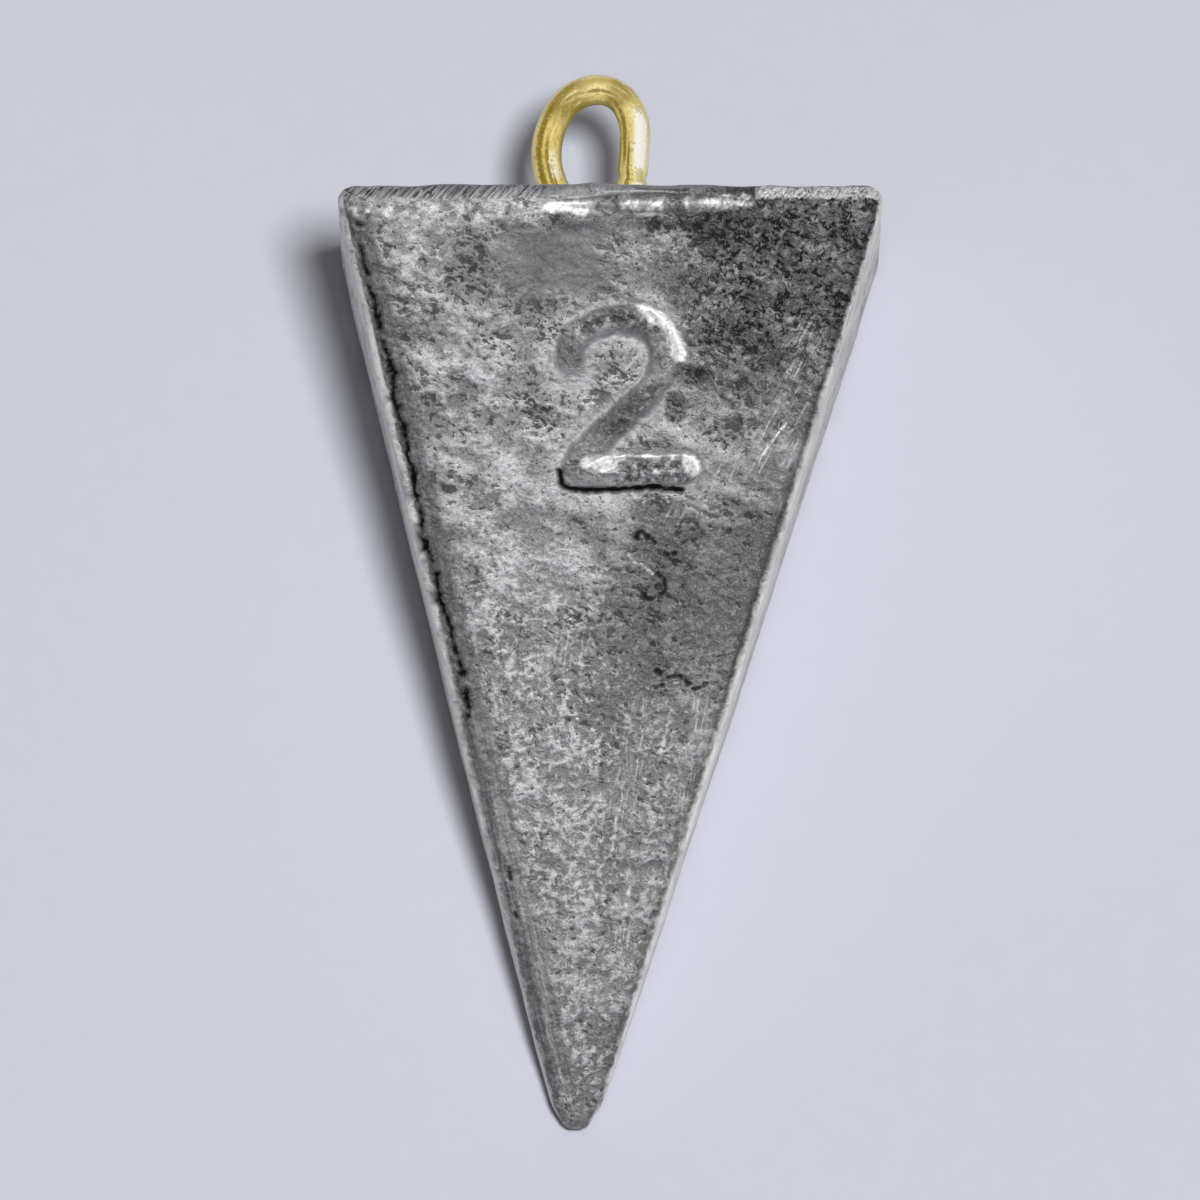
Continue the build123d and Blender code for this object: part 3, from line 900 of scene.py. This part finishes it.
def bendWire(start, bends, hand):
    # points along tangent bends; hand is 1 where the wire turns left as it goes down
    spot = Vector(start)
    heading = math.pi if hand > 0 else 0.0
    points = [spot.copy()]
    for size, angle in bends:
        arc = size if angle is None else size * abs(math.radians(angle))
        count = max(2, round(arc / eyeLook["step"]))
        turn = 0.0 if angle is None else hand * math.radians(angle) / count
        for _ in range(count):
            heading += turn / 2
            chord = arc / count if angle is None else 2 * size * math.sin(abs(turn) / 2)
            spot = spot + Vector((math.cos(heading), math.sin(heading))) * chord
            heading += turn / 2
            points.append(spot.copy())
    return points


def makeEyeSweep():
    tree = bpy.data.node_groups.new("eyeSweep", "GeometryNodeTree")
    addInputs(tree, (
        ("Geometry", "Geometry", None), ("Wire Radius", "Float", 0.5), ("Sides", "Int", 24),
        ("Waver", "Float", 0.02), ("Kink At", "Float", 0.0), ("Kink Depth", "Float", 0.0), ("Front", "Vector", None),
        ("Loop Middle", "Vector", None), ("Material", "Material", None),
    ))
    tree.interface.new_socket("Geometry", in_out="OUTPUT", socket_type="NodeSocketGeometry")
    given = addNode(tree, "NodeGroupInput").outputs
    path = addNode(tree, "GeometryNodeMeshToCurve", {"Mesh": given["Geometry"]}).outputs[0]
    length = addNode(tree, "GeometryNodeSplineParameter").outputs["Length"]
    path = keepMark(tree, path, "along", calc(tree, "DIVIDE", length, mm))
    ring = addNode(tree, "GeometryNodeCurvePrimitiveCircle",
                   {"Resolution": given["Sides"], "Radius": times(tree, given["Wire Radius"], mm)}).outputs[0]
    spot = addNode(tree, "GeometryNodeInputPosition").outputs[0]
    place = vecCalc(tree, "SCALE", spot, 1 / mm)
    ring = keepMark(tree, ring, "turn", place, "FLOAT_VECTOR")
    tube = addNode(tree, "GeometryNodeCurveToMesh",
                   {"Curve": path, "Profile Curve": ring, "Fill Caps": True}).outputs[0]
    along = addNode(tree, "GeometryNodeInputNamedAttribute", {"Name": "along"}, data_type="FLOAT").outputs[0]
    normal = addNode(tree, "GeometryNodeInputNormal").outputs[0]
    kink = fade(tree, calc(tree, "ABSOLUTE", calc(tree, "SUBTRACT", along, given["Kink At"])), 0.2, 0.02)
    rise = total(tree, sway(tree, place, 0.9, given["Waver"], 2.0), times(tree, kink, given["Kink Depth"], -1),
                 times(tree, given["Waver"], -0.3))
    offset = vecCalc(tree, "SCALE", normal, times(tree, rise, mm))
    frontward = vecCalc(tree, "DOT_PRODUCT", normal, given["Front"])
    sideward = vecCalc(tree, "DOT_PRODUCT", normal, (1, 0, 0))
    shine = times(tree, fade(tree, frontward, 0.1, 0.7), fade(tree, sideward, -0.3, 0.35),
                  fade(tree, sideward, 1.0, 0.5))
    outward = addNode(tree, "ShaderNodeVectorMath", operation="NORMALIZE")
    plug(tree, outward.inputs[0], vecCalc(tree, "SUBTRACT", spot, given["Loop Middle"]))
    outer = vecCalc(tree, "DOT_PRODUCT", normal, outward.outputs[0])
    tube = keepMark(tree, tube, "outer", outer)
    # stains darken the front of the wire; the rubs are painted highlights where the wire faces front and right
    for name, listed, mask in (("stain", "stains", fade(tree, frontward, -0.2, 0.4)), ("rubbed", "rubs", shine)):
        spots = 0.0
        for middle, half, strength in eyeLook[listed]:
            away = calc(tree, "ABSOLUTE", calc(tree, "SUBTRACT", along, middle))
            spots = total(tree, fade(tree, away, half, half * 0.3, 0.0, strength), spots)
        tube = keepMark(tree, tube, name, times(tree, spots, mask))
    tube = addNode(tree, "GeometryNodeSetPosition", {"Geometry": tube, "Offset": offset}).outputs[0]
    dress(tree, tube, given["Material"])
    return tree


def makeEye():
    foot = Vector(eyeMount["pos_m"]) - axisDir * eyeLook["mountRise"] * mm
    left = bendWire(eyeLook["crown"], eyeLook["left"], 1)
    right = bendWire(eyeLook["crown"], eyeLook["right"], -1)
    line = right[::-1] + left[1:]
    points = [foot + (across * spot.x + axisDir * spot.y) * mm for spot in line]
    eye = drawLines("brassEye", [points])
    addModifier(eye, makeEyeSweep(), {
        "Wire Radius": eyeLook["wire"] / 2, "Sides": eyeLook["sides"], "Waver": eyeLook["waver"],
        "Kink At": eyeLook["kinkAt"], "Kink Depth": eyeLook["kinkDepth"], "Front": frontDir,
        "Loop Middle": foot + (across * eyeLook["crown"][0] + axisDir * eyeLook["mountRise"]) * mm,
        "Material": brassWire,
    })
    settle(eye)
    lengths = [value.value for value in eye.data.attributes["along"].data]
    print("sinker: eye has", len(eye.data.polygons), "faces, wire", round(max(lengths), 2), "mm")
    return eye


brassEye = makeEye()
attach(brassEye, "root")
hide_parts("wire_eye")

# floor, lamps and camera, in metres; a lamp is (place, size, power)
studio = {
    "floorHalf": 1.5,
    "paper": (0.645, 0.66, 0.758, 1),
    "fibreScale": 900.0,
    "fibreShade": 0.97,
    "paperRoughness": 0.9,
    "paperShine": 0.1,
    "air": (0.636, 0.65, 0.744, 1),
    "airLight": 0.145,
    "airTint": (0.74, 0.70, 0.60, 1),
    "lampAim": (0, 0, 0.008),
    "lamps": {
        "keyLamp": ((0.08, -0.25, 0.87), 0.11, 6.9),
        "fillLamp": ((-0.4, 0.9, 0.6), 0.6, 0.5),
        "sideLamp": ((0.35, -0.03, 0.012), 0.03, 0.12),
    },
    "lens": 1000.0,
    "sensor": 36.0,
    "distance": 1.2245,
    "elevation": 68.76,
    "aim": (-0.00040338, -0.00122758, 0.00941155),
}


def makeFloor():
    half = studio["floorHalf"]
    mesh = bpy.data.meshes.new("paperFloor")
    corners = [(-half, -half, 0), (half, -half, 0), (half, half, 0), (-half, half, 0)]
    mesh.from_pydata(corners, [], [(0, 1, 2, 3)])
    floor = addObject("paperFloor", mesh)
    made, tree = startMaterial("palePaper")
    place = addNode(tree, "ShaderNodeTexCoord").outputs["Object"]
    fibre = noise(tree, place, studio["fibreScale"], 3.0, 0.6)
    shade = tuple(studio["fibreShade"] * part for part in studio["paper"][:3]) + (1,)
    shader = addNode(tree, "ShaderNodeBsdfPrincipled", {
        "Base Color": mixColour(tree, fibre, shade, studio["paper"]),
        "Roughness": studio["paperRoughness"], "Specular IOR Level": studio["paperShine"],
    })
    endMaterial(tree, shader)
    mesh.materials.append(made)


def makeAir():
    world = bpy.data.worlds.new("studioAir")
    world.use_nodes = True
    tree = world.node_tree
    tree.nodes.clear()
    rays = addNode(tree, "ShaderNodeLightPath").outputs
    seen = most(tree, rays["Is Camera Ray"], rays["Is Glossy Ray"], rays["Is Transmission Ray"])
    strength = fade(tree, seen, 0.0, 1.0, studio["airLight"], 1.0)
    tint = mixColour(tree, seen, studio["airTint"], studio["air"])
    air = addNode(tree, "ShaderNodeBackground", {"Color": tint, "Strength": strength})
    addNode(tree, "ShaderNodeOutputWorld", {"Surface": air.outputs[0]})
    scene.world = world


def addLamp(name, place, size, power):
    lamp = bpy.data.lights.new(name, "AREA")
    lamp.shape = "DISK"
    lamp.size = size
    lamp.energy = power
    made = addObject(name, lamp)
    made.location = place
    made.rotation_euler = (Vector(studio["lampAim"]) - Vector(place)).to_track_quat("-Z", "Y").to_euler()


def addCamera():
    lens = bpy.data.cameras.new("photoCamera")
    lens.lens = studio["lens"]
    lens.sensor_width = studio["sensor"]
    lens.clip_start = 0.05
    lens.clip_end = 10.0
    camera = addObject("photoCamera", lens)
    tilt = math.radians(studio["elevation"])
    back = Vector((0, -math.cos(tilt), math.sin(tilt)))
    camera.location = Vector(studio["aim"]) + back * studio["distance"]
    camera.rotation_euler = (math.pi / 2 - tilt, 0, 0)
    scene.camera = camera


makeFloor()
makeAir()
for name, (place, size, power) in studio["lamps"].items():
    addLamp(name, place, size, power)
addCamera()
print("sinker: studio ready")
